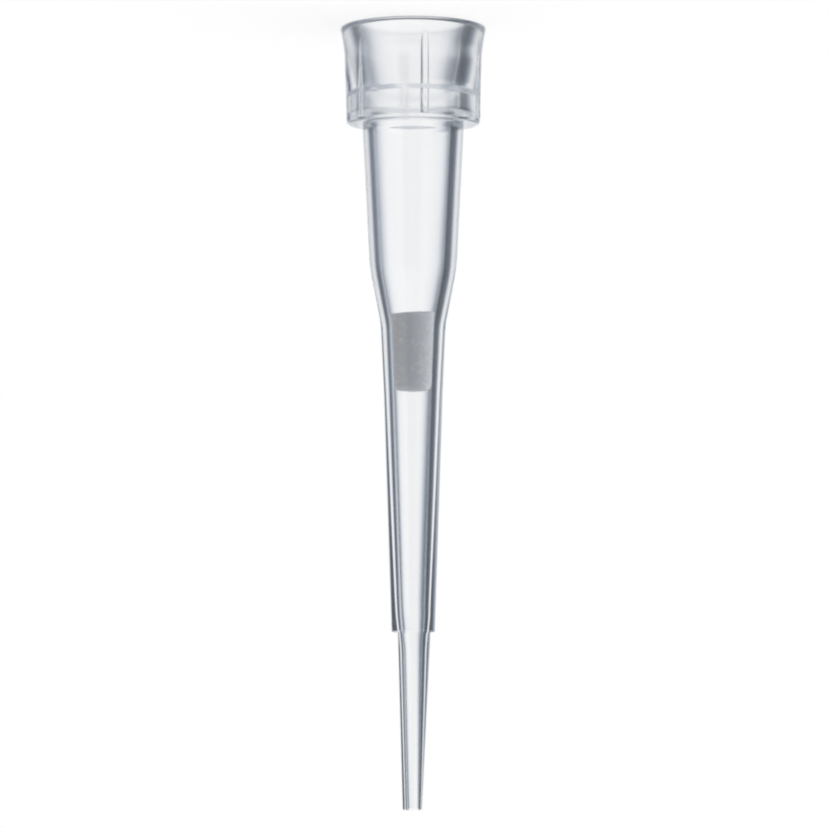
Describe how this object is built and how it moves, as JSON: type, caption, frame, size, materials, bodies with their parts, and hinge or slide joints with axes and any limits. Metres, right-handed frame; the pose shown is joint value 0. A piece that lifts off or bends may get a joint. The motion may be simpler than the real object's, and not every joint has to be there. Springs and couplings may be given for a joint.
{
  "type": "filter pipette tip",
  "caption": "Clear tapered pipette tip with a ribbed collar, a socket for the pipette's nozzle, a stepped slim point and a porous filter plug in the bore.",
  "frame": {"origin": "centre of the collar's flat rim, on the tip's axis", "axes": "+Z along the axis from the rim to the point; -Y is the front, with one rib 9.5 degrees towards -X from it"},
  "size_m": [0.0064, 0.0064, 0.034],
  "materials": {
    "clear_polypropylene": "clear injection-moulded polypropylene, polished mould",
    "porous_polyethylene": "sintered porous polyethylene, matt and slightly grainy"
  },
  "bodies": {
    "root": {"tip_body": "clear_polypropylene", "filter_plug": "porous_polyethylene"}
  },
  "joints": []
}
